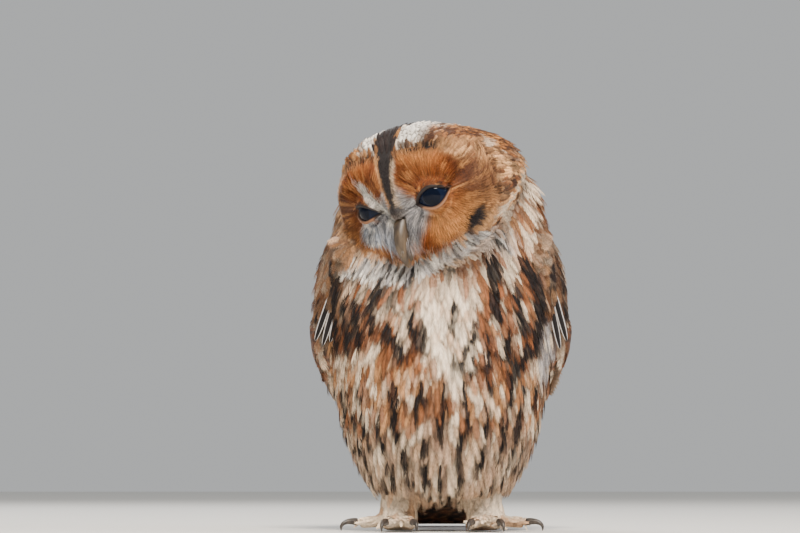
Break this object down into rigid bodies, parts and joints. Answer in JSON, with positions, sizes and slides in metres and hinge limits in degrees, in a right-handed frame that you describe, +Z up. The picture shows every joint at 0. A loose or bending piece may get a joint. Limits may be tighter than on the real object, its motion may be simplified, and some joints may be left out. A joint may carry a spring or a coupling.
{
  "type": "tawny owl",
  "caption": "Perched tawny owl, life size, standing on its feet and tail tip with folded wings and its head turned to its right.",
  "frame": {"origin": "middle of the bounding box's underside, on the floor under the owl", "axes": "+Z up, -Y the way the body faces, +X the owl's left; the head is turned 35 degrees from -Y towards -X"},
  "size_m": [0.1564, 0.2768, 0.2455],
  "materials": {
    "rufous_feathers": "soft rufous face feathers, fine and hair-like",
    "buff_feathers": "loose buff, cream and rufous feathers with dark shaft streaks",
    "brown_feathers": "stiff barred brown feathers with pale edges",
    "cream_feathers": "short dense cream feathers",
    "eye": "wet blue-black eye",
    "bill": "smooth yellow-olive horn",
    "claw": "smooth dark horn"
  },
  "bodies": {
    "root": {"bill_lower": "bill", "bill_upper": "bill", "claw_left_hind": "claw", "claw_left_inner": "claw", "claw_left_middle": "claw", "claw_left_outer": "claw", "claw_right_hind": "claw", "claw_right_inner": "claw", "claw_right_middle": "claw", "claw_right_outer": "claw", "eye_left": "eye", "eye_right": "eye", "foot_left": "cream_feathers", "foot_right": "cream_feathers", "head": "rufous_feathers", "leg_left": "cream_feathers", "leg_right": "cream_feathers", "neck": "buff_feathers", "tail": "brown_feathers", "trunk": "buff_feathers", "wing_left": "brown_feathers", "wing_right": "brown_feathers"}
  },
  "joints": []
}
